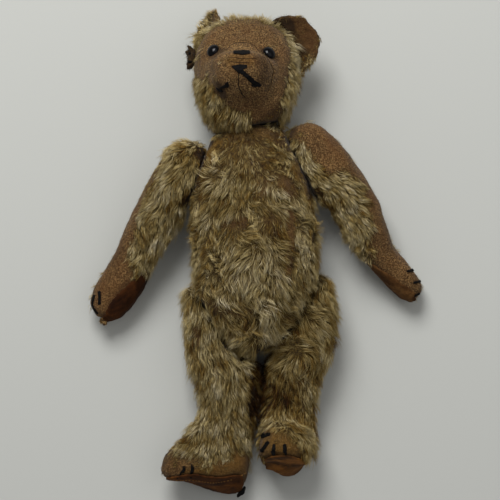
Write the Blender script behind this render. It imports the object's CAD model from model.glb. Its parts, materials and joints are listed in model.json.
"""The looks of a jointed mohair teddy bear, worn thin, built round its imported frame.

Every sewn cover becomes a padded skin that is blown up as cloth, gathered at its seams and
painted with its wear.  The pile is modelled hair by hair, combed and thinned place by place.
Lengths are in millimetres in the frame's own directions: +X is the bear's left, +Y points to
the crown, +Z is its front, and the floor is z = 0.
"""

import json
import logging
import math
from dataclasses import dataclass, field
from enum import Enum

import bmesh
import bpy
import numpy as np
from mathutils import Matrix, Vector
from mathutils.bvhtree import BVHTree
from mathutils.kdtree import KDTree

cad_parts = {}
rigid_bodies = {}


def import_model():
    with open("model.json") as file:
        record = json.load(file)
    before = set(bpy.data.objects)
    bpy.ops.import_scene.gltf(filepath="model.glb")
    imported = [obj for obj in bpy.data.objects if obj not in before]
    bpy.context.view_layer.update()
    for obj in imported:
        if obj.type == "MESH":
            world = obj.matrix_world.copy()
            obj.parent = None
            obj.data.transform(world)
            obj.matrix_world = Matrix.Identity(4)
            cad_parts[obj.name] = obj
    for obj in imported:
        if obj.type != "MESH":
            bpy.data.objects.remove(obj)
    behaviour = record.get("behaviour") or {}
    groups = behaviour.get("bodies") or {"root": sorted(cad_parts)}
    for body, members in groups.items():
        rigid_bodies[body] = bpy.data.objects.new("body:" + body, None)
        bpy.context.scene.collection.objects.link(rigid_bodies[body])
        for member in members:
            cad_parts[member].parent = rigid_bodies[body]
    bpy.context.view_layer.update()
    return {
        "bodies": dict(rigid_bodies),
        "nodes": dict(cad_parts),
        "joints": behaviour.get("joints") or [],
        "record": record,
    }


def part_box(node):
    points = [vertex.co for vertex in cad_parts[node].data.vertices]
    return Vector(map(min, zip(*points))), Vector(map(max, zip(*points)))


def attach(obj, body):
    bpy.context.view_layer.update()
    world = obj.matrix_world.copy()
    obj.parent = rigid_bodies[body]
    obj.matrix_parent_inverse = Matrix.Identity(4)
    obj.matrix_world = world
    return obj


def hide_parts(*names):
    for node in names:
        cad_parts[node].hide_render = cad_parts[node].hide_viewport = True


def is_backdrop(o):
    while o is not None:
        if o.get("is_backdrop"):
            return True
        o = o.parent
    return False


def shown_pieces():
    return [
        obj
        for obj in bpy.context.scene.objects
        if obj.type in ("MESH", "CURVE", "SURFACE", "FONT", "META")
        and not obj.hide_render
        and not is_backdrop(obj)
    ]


MM = 0.001
SEED = 1907

FLOOR_CLEAR = 0.15              # lowest that hair and small pieces may lie
SKIN_CLEAR = FLOOR_CLEAR * 0.3  # lowest that a stuffed cover may lie
JOINT_CLEAR = 0.15              # from a joint plane to the cloth on either side
JOINT_REACH = 44.0              # how far from its axis a joint presses the covers flat
DISC_REACH = 32.0               # how far from its axis a joint rubs the hair away
DISC_DEPTH = 1.6                # and how far from its plane
BORE_REACH = 2.4                # how far from its axis a joint's bore is closed
BORE_DEPTH = 30.0               # and how far along it
SEWN_REACH = 6.0                # how near what is sewn on holds the cover down
FRONT_HEIGHTS = 14.0, 26.0      # where the back's wear turns into the front's
CLOTH_FRAMES = 20               # how long the covers are blown up
BALD_SHARE = 0.09               # the share of the pile below which no long hair grows
HAIRS_IN_TUFT = 17
TUFT_REACH = 6.0                # how far a tuft draws its hairs together
THREAD_STEP = 0.5               # from place to place along a laid thread
HAIR_MAP = "OFBake"             # the hair's own map: its tone across, its rise up
MIX_INPUTS = 0, 6, 7            # a colour mix's share and its two colours
MIX_RESULT = 2

LOG = logging.getLogger("bear")

Point = tuple[float, float, float]


# ---------------------------------------------------------------- numbers and vectors

def linear(red: int, green: int, blue: int) -> tuple[float, float, float, float]:
    """A display colour as a linear one.

    Args:
        red: Its red, from 0 to 255.
        green: Its green.
        blue: Its blue.

    Returns:
        The linear colour that shaders use, with an alpha of 1.
    """
    def channel(value: int) -> float:
        """One channel as a linear one."""
        share = value / 255
        return share / 12.92 if share <= 0.04045 else ((share + 0.055) / 1.055) ** 2.4
    return channel(red), channel(green), channel(blue), 1.0


def unit(vectors: np.ndarray) -> np.ndarray:
    """The rows of an array, each scaled to length 1."""
    return vectors / np.maximum(np.linalg.norm(vectors, axis=1, keepdims=True), 1e-9)


def ease(values: np.ndarray, low: float, high: float) -> np.ndarray:
    """Rises smoothly from 0 at low to 1 at high."""
    share = np.clip((values - low) / (high - low), 0.0, 1.0)
    return share * share * (3 - 2 * share)


def ripple(points: np.ndarray, wavelength: float, seed: int, waves: int = 9) -> np.ndarray:
    """A smooth random field, about -1 to 1.

    Args:
        points: Places in mm, one a row.
        wavelength: The usual distance from crest to crest, in mm.
        seed: Picks the field.
        waves: How many plane waves it sums.

    Returns:
        One value a point.
    """
    rng = np.random.default_rng(SEED + seed)
    ways = unit(rng.normal(size=(waves, 3)))
    counts = rng.uniform(0.6, 1.7, waves) * 2 * math.pi / wavelength
    phases = rng.uniform(0, 2 * math.pi, waves)
    return np.sin(points @ (ways * counts[:, None]).T + phases).sum(1) / math.sqrt(waves)


def along_segment(points: np.ndarray, start: Point, end: Point) -> tuple[np.ndarray, np.ndarray]:
    """Measures points from a straight segment.

    Args:
        points: Places in mm, one a row.
        start: The segment's start.
        end: Its end.

    Returns:
        How far each point is from it, and where along it, from 0 to 1.
    """
    first, way = np.array(start, float), np.array(end, float) - np.array(start, float)
    length = float(way @ way)
    share = np.clip((points - first) @ way / length, 0, 1) if length > 1e-9 else np.zeros(len(points))
    return np.linalg.norm(points - first - share[:, None] * way, axis=1), share


# ---------------------------------------------------------------- wear, combing and seams

@dataclass(frozen=True)
class Patch:
    """A worn, stained or thick place on a cover, round a straight line.

    Attributes:
        start: One end of the line.
        end: The other end.
        reach: Its half width at the start.
        reach_end: Its half width at the end.
        pile: The share of the pile that is left, or None to leave it.
        tall: What the pile's length is multiplied by.
        stain: Ochre staining.
        soot: Dark dirt.
        rust: Red-brown bare backing.
        pale: Bleached, straw-coloured pile.
    """
    start: Point
    end: Point
    reach: float
    reach_end: float
    pile: float | None = None
    tall: float = 1.0
    stain: float = 0.0
    soot: float = 0.0
    rust: float = 0.0
    pale: float = 0.0

    def weight(self, points: np.ndarray) -> np.ndarray:
        """How much each point is in the patch, with a ragged edge.

        Args:
            points: Places in mm, one a row.

        Returns:
            A weight from 0 to 1 for each.
        """
        far, share = along_segment(points, self.start, self.end)
        far = far / (self.reach + (self.reach_end - self.reach) * share)
        ragged = 0.16 * ripple(points, 9.0, 3) + 0.10 * ripple(points, 3.4, 4)
        return 1 - ease(far + ragged, 0.68, 1.24)


@dataclass(frozen=True)
class Guide:
    """A place where the pile is combed its own way."""
    at: Point
    towards: Point
    reach: float


@dataclass(frozen=True)
class Seam:
    """A sewn seam that draws the cloth in along a line of places."""
    places: tuple[Point, ...]
    depth: float = 0.7
    width: float = 1.3


@dataclass(frozen=True)
class Tug:
    """A soft pull by hand on a stuffed part, which carries along what is sewn there."""
    at: Point
    by: Point
    reach: float


def tugged(points: np.ndarray, body: str) -> np.ndarray:
    """Moves points by a body's tugs.

    Args:
        points: Places in mm, one a row.
        body: The body's name, or an ear's.

    Returns:
        The points, moved.
    """
    for tug in TUGS.get(body, ()):
        far = np.linalg.norm(points - np.array(tug.at, float), axis=1)
        points = points + np.exp(-(far / tug.reach) ** 2)[:, None] * np.array(tug.by, float)
    return points


@dataclass(frozen=True)
class Look:
    """What the wear fields say at each point."""
    pile: np.ndarray
    tall: np.ndarray
    stain: np.ndarray
    soot: np.ndarray
    rust: np.ndarray
    pale: np.ndarray


@dataclass(frozen=True)
class Wear:
    """All of a cover's patches, and how much pile it has elsewhere."""
    patches: tuple[Patch, ...]
    pile: float = 1.0
    back_pile: float = 0.8

    def look(self, points: np.ndarray) -> Look:
        """Reads every field at the points.

        Args:
            points: Places in mm, one a row.

        Returns:
            What the patches say there.
        """
        count = len(points)
        front = ease(points[:, 2], *FRONT_HEIGHTS)
        pile = self.back_pile + (self.pile - self.back_pile) * front
        tall = np.ones(count)
        fields = {name: np.zeros(count) for name in ("stain", "soot", "rust", "pale")}
        for patch in self.patches:
            weight = patch.weight(points)
            if patch.pile is not None:
                pile = pile + (patch.pile - pile) * weight
            tall = tall * (1 + (patch.tall - 1) * weight)
            for name, values in fields.items():
                values += getattr(patch, name) * weight
        return Look(np.clip(pile, 0, 1), tall, **{n: np.clip(v, 0, 1) for n, v in fields.items()})


@dataclass(frozen=True)
class Comb:
    """Which way the pile lies.

    Attributes:
        base: The way it is brushed all over.
        guides: Where it goes its own way.
        away_from: A place that it also spreads away from.
        spread: How strongly it does.
        unruly: How far it strays, in swirls.
        swirl: How long a swirl is.
    """
    base: Point
    guides: tuple[Guide, ...] = ()
    away_from: Point | None = None
    spread: float = 0.0
    unruly: float = 0.55
    swirl: float = 24.0

    def lie(self, points: np.ndarray, normals: np.ndarray, seed: int) -> np.ndarray:
        """Which way the pile lies, along the cloth.

        Args:
            points: Places in mm, one a row.
            normals: The cloth's normal at each.
            seed: Picks the swirls.

        Returns:
            A direction of length 1 at each point.
        """
        way = np.tile(np.array(self.base, float), (len(points), 1))
        if self.away_from is not None:
            way += self.spread * unit(points - np.array(self.away_from))
        for guide in self.guides:
            far = np.linalg.norm(points - np.array(guide.at), axis=1)
            way += np.exp(-(far / guide.reach) ** 2)[:, None] * np.array(guide.towards)
        for axis in range(3):
            way[:, axis] += self.unruly * ripple(points, self.swirl, 11 * seed + axis)
            way[:, axis] += 0.45 * self.unruly * ripple(points, self.swirl * 0.3, 11 * seed + axis + 5)
        away = (way * normals).sum(1)
        way -= (away - np.clip(away, 0.0, 0.3))[:, None] * normals
        return unit(way)


# ---------------------------------------------------------------- meshes

def new_object(name: str, mesh: bpy.types.Mesh) -> bpy.types.Object:
    """Links a mesh to the scene as an object at the origin.

    Args:
        name: The object's name.
        mesh: Its mesh.

    Returns:
        The object.
    """
    made = bpy.data.objects.new(name, mesh)
    bpy.context.scene.collection.objects.link(made)
    return made


def pick_nothing() -> None:
    """Deselects everything."""
    bpy.ops.object.select_all(action="DESELECT")


def pick(obj: bpy.types.Object) -> None:
    """Makes obj the only selected object, and the active one."""
    pick_nothing()
    obj.select_set(True)
    bpy.context.view_layer.objects.active = obj


def apply_modifiers(obj: bpy.types.Object) -> None:
    """Applies every modifier on obj, from the first."""
    pick(obj)
    for name in [modifier.name for modifier in obj.modifiers]:
        bpy.ops.object.modifier_apply(modifier=name)


def corners(mesh: bpy.types.Mesh) -> np.ndarray:
    """A mesh's points in mm."""
    flat = np.empty(len(mesh.vertices) * 3, np.float32)
    mesh.vertices.foreach_get("co", flat)
    return flat.reshape(-1, 3).astype(float) / MM


def normals_of(mesh: bpy.types.Mesh) -> np.ndarray:
    """A mesh's point normals."""
    flat = np.empty(len(mesh.vertices) * 3, np.float32)
    mesh.vertex_normals.foreach_get("vector", flat)
    return flat.reshape(-1, 3).astype(float)


def place(mesh: bpy.types.Mesh, points: np.ndarray) -> None:
    """Moves a mesh's points to new places in mm."""
    mesh.vertices.foreach_set("co", (points * MM).astype(np.float32).ravel())
    mesh.update()


def relax(mesh: bpy.types.Mesh, rounds: int) -> None:
    """Smooths a mesh without shrinking it: each round eases its points and then pushes them back.

    Args:
        mesh: What is smoothed.
        rounds: How many times.
    """
    edges = np.empty(len(mesh.edges) * 2, np.int32)
    mesh.edges.foreach_get("vertices", edges)
    first, second = edges.reshape(-1, 2).T
    points = corners(mesh)
    count = np.maximum(np.bincount(edges, minlength=len(points)), 1)[:, None]
    for _ in range(rounds):
        for pull in (0.55, -0.57):
            total = np.zeros_like(points)
            np.add.at(total, first, points[second])
            np.add.at(total, second, points[first])
            points = points + pull * (total / count - points)
    place(mesh, points)


def around(points: np.ndarray, centre: np.ndarray, axis: np.ndarray) -> tuple[np.ndarray, np.ndarray]:
    """Measures points from an axis.

    Args:
        points: Places in mm, one a row.
        centre: A place on the axis.
        axis: Its direction, of length 1.

    Returns:
        How far each point is along the axis, and how far out from it.
    """
    away = points - centre
    depth = away @ axis
    return depth, np.linalg.norm(away - depth[:, None] * axis, axis=1)


def near_box(points: np.ndarray, low: np.ndarray, high: np.ndarray, margin: float) -> np.ndarray:
    """Which points lie within margin of a box."""
    return np.all((points > low - margin) & (points < high + margin), axis=1)


def smooth_shaded(obj: bpy.types.Object) -> bpy.types.Object:
    """Shades obj smooth."""
    obj.data.polygons.foreach_set("use_smooth", np.ones(len(obj.data.polygons), bool))
    return obj


def merged_copy(source: bpy.types.Object, name: str) -> bpy.types.Object:
    """A copy of a CAD node's mesh with its loose triangles joined.

    Args:
        source: The node's object.
        name: The copy's name.

    Returns:
        The copy.
    """
    mesh = source.data.copy()
    mesh.name = name
    work = bmesh.new()
    work.from_mesh(mesh)
    bmesh.ops.remove_doubles(work, verts=work.verts, dist=2e-6)
    work.to_mesh(mesh)
    work.free()
    mesh.materials.clear()
    return new_object(name, mesh)


def add_remesh(obj: bpy.types.Object, voxel: float) -> None:
    """Adds an even voxel remesh to obj."""
    remesh = obj.modifiers.new("Even mesh", "REMESH")
    remesh.mode, remesh.voxel_size = "VOXEL", voxel * MM


def subdivide(obj: bpy.types.Object) -> None:
    """Subdivides obj smoothly, once."""
    split = obj.modifiers.new("Finer", "SUBSURF")
    split.levels = split.render_levels = 1
    apply_modifiers(obj)


def remeshed_copy(source: bpy.types.Object, name: str, voxel: float, rounds: int) -> bpy.types.Object:
    """A CAD node's copy, remeshed evenly and smoothed.

    Args:
        source: The node's object.
        name: The copy's name.
        voxel: The remesh size in mm.
        rounds: How many rounds of smoothing.

    Returns:
        The copy.
    """
    obj = merged_copy(source, name)
    add_remesh(obj, voxel)
    apply_modifiers(obj)
    relax(obj.data, rounds)
    return obj


def set_down(obj: bpy.types.Object, points: np.ndarray, lowest: float = FLOOR_CLEAR) -> None:
    """Moves an object's points, keeps them off the floor and shades it smooth.

    Args:
        obj: The object.
        points: Its new places.
        lowest: The lowest that a point may lie.
    """
    points[:, 2] = np.maximum(points[:, 2], lowest)
    place(obj.data, points)
    smooth_shaded(obj)


def finish_piece(piece: bpy.types.Object, finish: bpy.types.Material, body: str) -> None:
    """Gives a piece its finish, and puts it on its body and in its material slot.

    Args:
        piece: The piece.
        finish: Its material.
        body: The body it rides on.
    """
    piece.data.materials.append(finish)
    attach(piece, body)


def spot_tree(spots: np.ndarray, numbers: range) -> KDTree:
    """A search tree over spots, each found again by its number.

    Args:
        spots: Places in mm, one a row.
        numbers: Each one's number.

    Returns:
        The tree.
    """
    tree = KDTree(len(numbers))
    for spot, number in zip(spots, numbers):
        tree.insert(spot, number)
    tree.balance()
    return tree


def tree_of(*objects: bpy.types.Object, body: str = "") -> BVHTree:
    """A search tree over the triangles of some objects.

    Args:
        *objects: The objects.
        body: Whose tugs move them first, if any.

    Returns:
        The tree, in mm.
    """
    points, faces = [], []
    for obj in objects:
        first = len(points)
        points += [tuple(p) for p in tugged(corners(obj.data), body)]
        faces += [tuple(first + v for v in face.vertices) for face in obj.data.polygons]
    return BVHTree.FromPolygons(points, faces)


# ---------------------------------------------------------------- shader nodes

class Graph:
    """Adds nodes to a tree and joins them."""

    def __init__(self, tree: bpy.types.NodeTree) -> None:
        """Starts on a tree."""
        self.tree = tree

    def add(self, kind: str, settings: dict | None = None, **sockets: object) -> bpy.types.Node:
        """Adds a node.

        Args:
            kind: Its type, without the ShaderNode in front.
            settings: Its own properties.
            **sockets: A value or another node's output for each input, with _ for a space.

        Returns:
            The node.
        """
        node = self.tree.nodes.new(kind if kind.startswith("Node") else "ShaderNode" + kind)
        for key, value in (settings or {}).items():
            setattr(node, key, value)
        self.fill(node, **sockets)
        return node

    def fill(self, node: bpy.types.Node, **sockets: object) -> None:
        """Links or sets a node's inputs, each named with _ for a space."""
        for key, value in sockets.items():
            self.put(node.inputs[key.replace("_", " ")], value)

    def put(self, socket: bpy.types.NodeSocket, value: object) -> None:
        """Links an output to a socket, or sets the socket's own value.

        Args:
            socket: The socket.
            value: Another node's output, or a plain value.
        """
        if isinstance(value, bpy.types.NodeSocket):
            self.tree.links.new(value, socket)
        else:
            socket.default_value = value

    def where(self) -> bpy.types.NodeSocket:
        """The place on the object."""
        return self.add("TexCoord").outputs["Object"]

    def noise(self, where: object, scale: object, detail: float = 3.0, rough: float = 0.6,
              warp: float = 0.0) -> bpy.types.NodeSocket:
        """A noise value at a scale in waves a metre."""
        return self.add("TexNoise", Vector=where, Scale=scale, Detail=detail, Roughness=rough,
                        Distortion=warp).outputs["Fac"]

    def ramp(self, value: object, *stops: tuple[float, tuple]) -> bpy.types.NodeSocket:
        """A colour ramp through its stops.

        Args:
            value: Where on the ramp, from 0 to 1.
            *stops: Places on it, each with its colour.

        Returns:
            The ramp's colour.
        """
        node = self.add("ValToRGB", Fac=value)
        bar = node.color_ramp.elements
        while len(bar) < len(stops):
            bar.new(0.5)
        for element, (at, colour) in zip(bar, stops):
            element.position, element.color = at, colour
        return node.outputs["Color"]

    def span(self, value: object, low: float, high: float, to_low: float = 0.0,
             to_high: float = 1.0) -> bpy.types.NodeSocket:
        """Maps low..high to another span, without going past it."""
        return self.add("MapRange", **{"Value": value, "From_Min": low, "From_Max": high,
                                       "To_Min": to_low, "To_Max": to_high}).outputs["Result"]

    def maths(self, operation: str, first: object, second: object = 0.0) -> bpy.types.NodeSocket:
        """An arithmetic operation on two values.

        Args:
            operation: The node's own name for it.
            first: The first value.
            second: The second.

        Returns:
            The result.
        """
        node = self.add("Math", {"operation": operation})
        self.put(node.inputs[0], first)
        self.put(node.inputs[1], second)
        return node.outputs[0]

    def mix(self, share: object, first: object, second: object,
            blend: str = "MIX") -> bpy.types.NodeSocket:
        """Two colours mixed.

        Args:
            share: How much of the second, from 0 to 1.
            first: The first colour.
            second: The second.
            blend: The node's own name for the way of mixing.

        Returns:
            The mixed colour.
        """
        node = self.add("Mix", {"data_type": "RGBA", "blend_type": blend})
        for index, value in zip(MIX_INPUTS, (share, first, second)):
            self.put(node.inputs[index], value)
        return node.outputs[MIX_RESULT]

    def shaded(self, colour: object, light: object) -> bpy.types.NodeSocket:
        """A colour made lighter or darker by a value."""
        grey = self.add("CombineColor", Red=light, Green=light, Blue=light).outputs[0]
        return self.mix(1.0, colour, grey, "MULTIPLY")

    def relief(self, height: object, strength: float, distance: float) -> bpy.types.NodeSocket:
        """The normal of a bumpy surface."""
        return self.add("Bump", Strength=strength, Distance=distance, Height=height).outputs["Normal"]


def new_material(name: str) -> tuple[bpy.types.Material, Graph, bpy.types.Node]:
    """Starts a material.

    Args:
        name: Its name.

    Returns:
        The material, a Graph on it and its shader node.
    """
    material = bpy.data.materials.new(name)
    material.use_nodes = True
    return material, Graph(material.node_tree), material.node_tree.nodes["Principled BSDF"]


def new_group(name: str, inputs: dict[str, object], outputs: dict[str, str]) -> tuple:
    """A shader node group with its sockets.

    Args:
        name: Its name.
        inputs: Each input's name and default, a number or a colour.
        outputs: Each output's name and socket type.

    Returns:
        The group, a Graph on it, its input node and its output node.
    """
    group = bpy.data.node_groups.new(name, "ShaderNodeTree")
    for key, value in inputs.items():
        kind = "NodeSocketColor" if isinstance(value, tuple) else "NodeSocketFloat"
        group.interface.new_socket(key, in_out="INPUT", socket_type=kind).default_value = value
    for key, kind in outputs.items():
        group.interface.new_socket(key, in_out="OUTPUT", socket_type=kind)
    graph = Graph(group)
    return group, graph, graph.add("NodeGroupInput"), graph.add("NodeGroupOutput")


class Effect(Enum):
    """The shared effects, each a node group that is built once."""
    WEAVE = "Coarse weave"
    GRIME = "Handled grime"

    def node(self, graph: Graph, **sockets: object) -> bpy.types.Node:
        """Places the effect in a material."""
        group = bpy.data.node_groups.get(self.value) or EFFECT_MAKERS[self]()
        return graph.add("Group", {"node_tree": group}, **sockets)


def make_weave() -> bpy.types.NodeTree:
    """A plain weave of uneven threads with slubs, as a colour share and a height.

    Returns:
        The node group.
    """
    group, graph, given, out = new_group(
        Effect.WEAVE.value, {"Pitch": 900.0}, {"Share": "NodeSocketFloat", "Height": "NodeSocketFloat"})
    where = graph.where()
    warp = graph.add("VectorMath", {"operation": "SCALE"})
    drift = graph.add("TexNoise", Vector=where, Scale=220.0, Detail=2.0)
    graph.put(warp.inputs[0], drift.outputs["Color"])
    graph.fill(warp, Scale=0.0016)
    bent = graph.add("VectorMath", {"operation": "ADD"})
    graph.put(bent.inputs[0], where)
    graph.put(bent.inputs[1], warp.outputs[0])
    threads = []
    for axis in ("X", "Y"):
        wave = graph.add("TexWave", {"bands_direction": axis}, Vector=bent.outputs[0], Scale=300.0,
                         Distortion=2.4, Detail=2.0, Detail_Scale=1.6)
        threads.append(wave.outputs["Fac"])
    cross = graph.maths("MULTIPLY", graph.maths("ADD", *threads), 0.5)
    slub = graph.span(graph.noise(where, given.outputs["Pitch"], 2.0, 0.75), 0.32, 0.68)
    knots = graph.add("TexVoronoi", Vector=bent.outputs[0], Scale=given.outputs["Pitch"])
    pits = graph.span(knots.outputs["Distance"], 0.1, 0.8)
    rough = graph.maths("ADD", graph.maths("MULTIPLY", slub, 0.46), graph.maths("MULTIPLY", pits, 0.32))
    mixed = graph.maths("ADD", graph.maths("MULTIPLY", cross, 0.22), rough)
    graph.fill(out, Share=mixed, Height=mixed)
    return group


def make_grime() -> bpy.types.NodeTree:
    """Soft blotches of handling dirt, as a mask from 0 to 1.

    Returns:
        The node group.
    """
    group, graph, given, out = new_group(
        Effect.GRIME.value, {"Size": 60.0, "Amount": 0.5}, {"Mask": "NodeSocketFloat"})
    cloud = graph.noise(graph.where(), given.outputs["Size"], 5.0, 0.62, 0.4)
    mask = graph.span(cloud, 0.42, 0.68)
    graph.fill(out, Mask=graph.maths("MULTIPLY", mask, given.outputs["Amount"]))
    return group


EFFECT_MAKERS = {Effect.WEAVE: make_weave, Effect.GRIME: make_grime}


# ---------------------------------------------------------------- finishes

@dataclass(frozen=True)
class ClothFinish:
    """The woven backing of the mohair, bare or under its pile.

    Attributes:
        name: The material's name.
        bare: Bare cloth between its threads.
        bare_light: The top of its threads.
        rust: Where it is worn red-brown.
        ochre: Where it is stained.
        soot: Where it is dirty.
        root: Cloth under thick pile.
        root_light: The top of its threads there.
        bump: How strong its relief is.
    """
    name: str
    bare: tuple
    bare_light: tuple
    rust: tuple
    ochre: tuple
    soot: tuple
    root: tuple
    root_light: tuple
    bump: float = 0.55

    def material(self) -> bpy.types.Material:
        """Builds the material.

        Returns:
            The material, which reads the cover's painted wear.
        """
        material, graph, shader = new_material(self.name)
        weave = Effect.WEAVE.node(graph, Pitch=1020.0)
        paint = graph.add("Attribute", {"attribute_name": "wear"})
        channels = graph.add("SeparateColor", Color=paint.outputs["Color"])
        pile, stain, soot = (channels.outputs[i] for i in range(3))
        rust = paint.outputs["Alpha"]
        threads = graph.span(weave.outputs["Share"], 0.44, 0.78)
        bare = graph.mix(threads, self.bare, self.bare_light)
        cloud = graph.noise(graph.where(), 62.0, 5.0, 0.6, 0.3)
        bare = graph.mix(graph.span(cloud, 0.45, 0.75, 0, 0.65), bare, self.rust)
        bare = graph.mix(graph.maths("MULTIPLY", rust, 0.55), bare, self.rust)
        roots = graph.mix(threads, self.root, self.root_light)
        tone = graph.mix(pile, bare, roots)
        tone = graph.mix(graph.maths("MULTIPLY", stain, 0.75), tone, self.ochre)
        dirt = Effect.GRIME.node(graph, Size=52.0, Amount=0.42)
        dark = graph.maths("MAXIMUM", graph.maths("MULTIPLY", soot, 0.85), dirt.outputs["Mask"])
        tone = graph.mix(dark, tone, self.soot)
        deep = graph.span(weave.outputs["Share"], 0.25, 0.42, 0.84, 1.0)
        graph.fill(shader, Base_Color=graph.shaded(tone, deep), Roughness=0.88, Specular_IOR_Level=0.14,
                   Sheen_Weight=0.06, Sheen_Roughness=0.5,
                   Normal=graph.relief(weave.outputs["Height"], self.bump, 0.0006))
        return material


@dataclass(frozen=True)
class PileFinish:
    """Mohair hair: its map gives a tone from side to side, and root to tip from below to above.

    Attributes:
        name: The material's name.
        roots: The roots' colour at some tones.
        tips: The tips' colour at some tones.
    """
    name: str
    roots: tuple[tuple[float, tuple], ...]
    tips: tuple[tuple[float, tuple], ...]

    def material(self) -> bpy.types.Material:
        """Builds the material.

        Returns:
            The material, which reads the hair's own map.
        """
        material, graph, shader = new_material(self.name)
        spot = graph.add("UVMap", {"uv_map": HAIR_MAP})
        parts = graph.add("SeparateXYZ", Vector=spot.outputs["UV"])
        roots = graph.ramp(parts.outputs["X"], *self.roots)
        tips = graph.ramp(parts.outputs["X"], *self.tips)
        rise = graph.span(parts.outputs["Y"], 0.05, 0.85)
        graph.fill(shader, Base_Color=graph.mix(rise, roots, tips), Roughness=0.62, Specular_IOR_Level=0.16)
        return material


@dataclass(frozen=True)
class FeltFinish:
    """Old wool felt, felted flat, rubbed and stained."""
    name: str
    deep: tuple
    worn: tuple
    rubbed: tuple

    def material(self) -> bpy.types.Material:
        """Builds the material.

        Returns:
            The material.
        """
        material, graph, shader = new_material(self.name)
        where = graph.where()
        cloud = graph.noise(where, 70.0, 6.0, 0.65, 0.6)
        fibres = graph.noise(where, 1500.0, 4.0, 0.7, 1.2)
        tone = graph.mix(graph.span(cloud, 0.38, 0.66), self.deep, self.worn)
        rub = graph.span(graph.noise(where, 38.0, 4.0, 0.6, 0.5), 0.52, 0.7)
        tone = graph.mix(graph.maths("MULTIPLY", rub, 0.7), tone, self.rubbed)
        light = graph.span(fibres, 0.35, 0.7, 0.62, 1.25)
        height = graph.maths("ADD", fibres, graph.maths("MULTIPLY", cloud, 0.8))
        graph.fill(shader, Base_Color=graph.shaded(tone, light), Roughness=0.9, Specular_IOR_Level=0.12,
                   Normal=graph.relief(height, 0.5, 0.0005))
        return material


@dataclass(frozen=True)
class ThreadFinish:
    """Twisted cotton thread, dusty where it is rubbed."""
    name: str
    dark: tuple
    light: tuple

    def material(self) -> bpy.types.Material:
        """Builds the material.

        Returns:
            The material.
        """
        material, graph, shader = new_material(self.name)
        where = graph.where()
        fibres = graph.noise(where, 2400.0, 3.0, 0.6, 0.8)
        dust = graph.noise(where, 260.0, 4.0, 0.6)
        tone = graph.mix(graph.span(fibres, 0.45, 0.8, 0, 0.5), self.dark, self.light)
        tone = graph.mix(graph.span(dust, 0.6, 0.8, 0, 0.35), tone, self.light)
        graph.fill(shader, Base_Color=tone, Roughness=0.75, Specular_IOR_Level=0.12,
                   Normal=graph.relief(fibres, 0.4, 0.0002))
        return material


@dataclass(frozen=True)
class ButtonFinish:
    """A black boot button, polished and finely scratched."""
    name: str
    black: tuple
    hazed: tuple

    def material(self) -> bpy.types.Material:
        """Builds the material.

        Returns:
            The material.
        """
        material, graph, shader = new_material(self.name)
        where = graph.where()
        haze = graph.noise(where, 320.0, 5.0, 0.6, 0.5)
        scratch = graph.noise(where, 900.0, 3.0, 0.6, 2.0)
        graph.fill(shader, Base_Color=graph.mix(graph.span(haze, 0.45, 0.75), self.black, self.hazed),
                   Roughness=graph.span(haze, 0.4, 0.8, 0.12, 0.3), Specular_IOR_Level=0.3, IOR=1.36,
                   Normal=graph.relief(scratch, 0.08, 0.0002))
        return material


@dataclass(frozen=True)
class PlainFinish:
    """An inside part's finish: a base colour broken up by grain.

    Attributes:
        name: The material's name.
        dark: Its darker colour.
        light: Its lighter colour.
        grain: The grain's scale in waves a metre.
        stretch: How much longer the grain is along Y.
        metal: Metallic.
        rough: Roughness, from and to.
        bump: How strong its relief is.
    """
    name: str
    dark: tuple
    light: tuple
    grain: float
    stretch: float
    metal: float
    rough: tuple[float, float]
    bump: float

    def material(self) -> bpy.types.Material:
        """Builds the material.

        Returns:
            The material.
        """
        material, graph, shader = new_material(self.name)
        spread = graph.add("Mapping", Vector=graph.where(), Scale=(1.0, 1.0 / self.stretch, 1.0))
        grain = graph.noise(spread.outputs["Vector"], self.grain, 5.0, 0.65, 0.8)
        graph.fill(shader, Base_Color=graph.mix(graph.span(grain, 0.32, 0.7), self.dark, self.light),
                   Roughness=graph.span(grain, 0.3, 0.7, *self.rough), Metallic=self.metal,
                   Normal=graph.relief(grain, self.bump, 0.0005))
        return material


MOHAIR_BACKING = ClothFinish(
    "Mohair backing", bare=linear(62, 42, 20), bare_light=linear(154, 120, 76), rust=linear(90, 57, 27),
    ochre=linear(100, 72, 12), soot=linear(34, 20, 8),
    root=linear(42, 31, 12), root_light=linear(94, 76, 38))
EAR_BACKING = ClothFinish(
    "Ear backing", bare=linear(44, 31, 14), bare_light=linear(132, 102, 60), rust=linear(78, 49, 23),
    ochre=linear(94, 72, 26), soot=linear(32, 20, 10),
    root=linear(44, 34, 14), root_light=linear(98, 82, 46))
MOHAIR_PILE = PileFinish(
    "Mohair pile",
    roots=((0.0, linear(14, 7, 1)), (0.16, linear(38, 21, 3)), (0.3, linear(60, 38, 4)),
           (0.5, linear(68, 48, 9)), (0.75, linear(98, 76, 26)), (1.0, linear(152, 128, 74))),
    tips=((0.0, linear(36, 22, 5)), (0.16, linear(108, 68, 26)), (0.3, linear(160, 124, 52)),
          (0.5, linear(206, 181, 116)), (0.75, linear(238, 218, 162)), (1.0, linear(250, 238, 204))))
PAD_FELT = FeltFinish("Pad felt", deep=linear(36, 15, 3), worn=linear(72, 38, 10),
                      rubbed=linear(136, 82, 28))
SOLE_FELT = FeltFinish("Sole felt", deep=linear(48, 24, 7), worn=linear(92, 53, 19),
                       rubbed=linear(140, 90, 38))
TOE_FELT = FeltFinish("Toe felt", deep=linear(64, 39, 15), worn=linear(116, 73, 30),
                      rubbed=linear(166, 108, 48))
RUBBED_FELT = FeltFinish("Rubbed pad felt", deep=linear(60, 36, 14), worn=linear(98, 66, 34),
                         rubbed=linear(142, 102, 58))
SEAM_THREAD = ThreadFinish("Seam thread", dark=linear(38, 22, 11), light=linear(84, 56, 32))
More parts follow.
